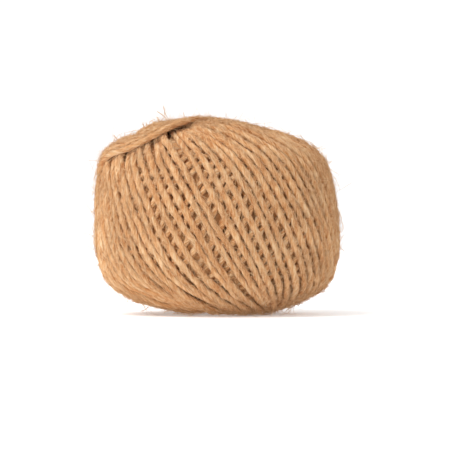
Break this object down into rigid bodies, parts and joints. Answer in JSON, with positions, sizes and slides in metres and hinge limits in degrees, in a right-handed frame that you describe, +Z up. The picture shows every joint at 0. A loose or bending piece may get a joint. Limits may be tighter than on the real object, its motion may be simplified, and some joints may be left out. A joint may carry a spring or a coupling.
{
  "type": "ball of twine",
  "caption": "Barrel-shaped ball of jute twine wound in crossing slanted loops, with dished ends and a small flat spot to stand on.",
  "frame": {"origin": "centre of the ball's outline seen from above, at the height of the flat spot that it stands on", "axes": "+Z up along the winding axis; the side seen in the picture faces -Y, with its right side towards +X"},
  "size_m": [0.0804, 0.0786, 0.0629],
  "materials": {
    "jute": "matte, dry natural jute fibre"
  },
  "bodies": {
    "root": {"ball": "jute"}
  },
  "joints": []
}
